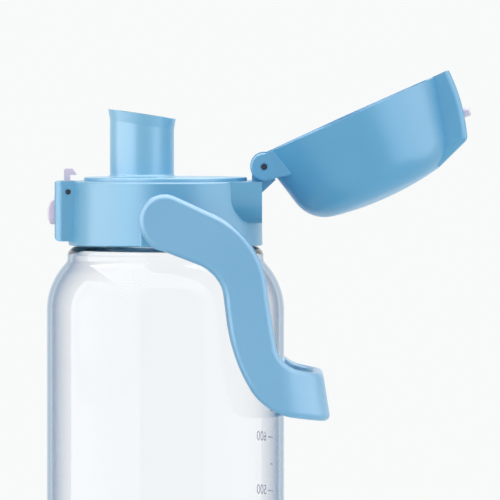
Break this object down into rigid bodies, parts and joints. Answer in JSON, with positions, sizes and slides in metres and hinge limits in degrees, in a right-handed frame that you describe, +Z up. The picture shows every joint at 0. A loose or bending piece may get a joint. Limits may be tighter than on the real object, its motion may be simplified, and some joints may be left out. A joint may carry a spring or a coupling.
{
  "type": "drinking bottle with flip-lid cap",
  "caption": "Clear rigid drinking bottle with a screw cap, a flip-open lid over a short spout, a push-button latch with a sliding lock, and a swinging carry handle.",
  "frame": {"origin": "middle of the bottle's base, on the plane of its foot ring", "axes": "+Z up the bottle, +X towards the hinge (rear), -X towards the latch (front), Y across the handle's two arms"},
  "size_m": [0.1517, 0.085, 0.2525],
  "materials": {
    "clear_body": "clear, polished",
    "silicone": "satin silicone",
    "collar_blue": "gloss",
    "spout_blue": "gloss",
    "lid_blue": "satin gloss",
    "handle_blue": "satin gloss",
    "latch_lavender": "gloss",
    "pin_steel": "drawn wire, plain"
  },
  "bodies": {
    "bottle": {"bottle_body": "clear_body"},
    "gasket": {"mouth_gasket": "silicone"},
    "cap": {"cap_collar": "collar_blue", "spout_deck": "spout_blue", "lid_hinge_pin": "pin_steel", "latch_pin": "pin_steel", "handle_stud_left": "handle_blue", "handle_stud_right": "handle_blue", "lid_spring": "pin_steel", "latch_spring": "pin_steel"},
    "lid": {"lid_shell": "lid_blue", "stopper_holder": "lid_blue", "spout_stopper": "silicone", "lock_keeper": "lid_blue"},
    "lock": {"lock_slider": "latch_lavender"},
    "latch": {"latch_lever": "latch_lavender"},
    "handle": {"carry_handle": "handle_blue"}
  },
  "joints": [
    {"name": "cap_rise", "type": "slide", "parent": "bottle", "child": "gasket", "axis": [0, 0, 1], "range_m": [0, 0.00701]},
    {"name": "cap_turn", "type": "hinge", "parent": "gasket", "child": "cap", "pos_m": [0, 0, 0.2], "axis": [0, 0, 1], "range_deg": [0, 630]},
    {"name": "lid_hinge", "type": "hinge", "parent": "cap", "child": "lid", "pos_m": [0.03524, 0, 0.21825], "axis": [0, -1, 0], "range_deg": [0, 155.7], "stiffness_Nm_per_rad": 0.004, "springref_deg": -45.84, "deforming": ["lid_spring"]},
    {"name": "latch_press", "type": "hinge", "parent": "cap", "child": "latch", "pos_m": [-0.0346, 0, 0.2092], "axis": [0, -1, 0], "range_deg": [0, 9], "stiffness_Nm_per_rad": 0.15, "springref_deg": -5.73, "deforming": ["latch_spring"]},
    {"name": "handle_swing", "type": "hinge", "parent": "cap", "child": "handle", "pos_m": [0, 0, 0.1997], "axis": [0, -1, 0], "range_deg": [0, 36]},
    {"name": "lock_slide", "type": "slide", "parent": "lid", "child": "lock", "axis": [0.2766, 0, -0.961], "range_m": [-0.004, 0]}
  ],
  "couplings": [
    {"joint": "cap_rise", "follows": "cap_turn", "m_per_rad": 0.00063662}
  ]
}
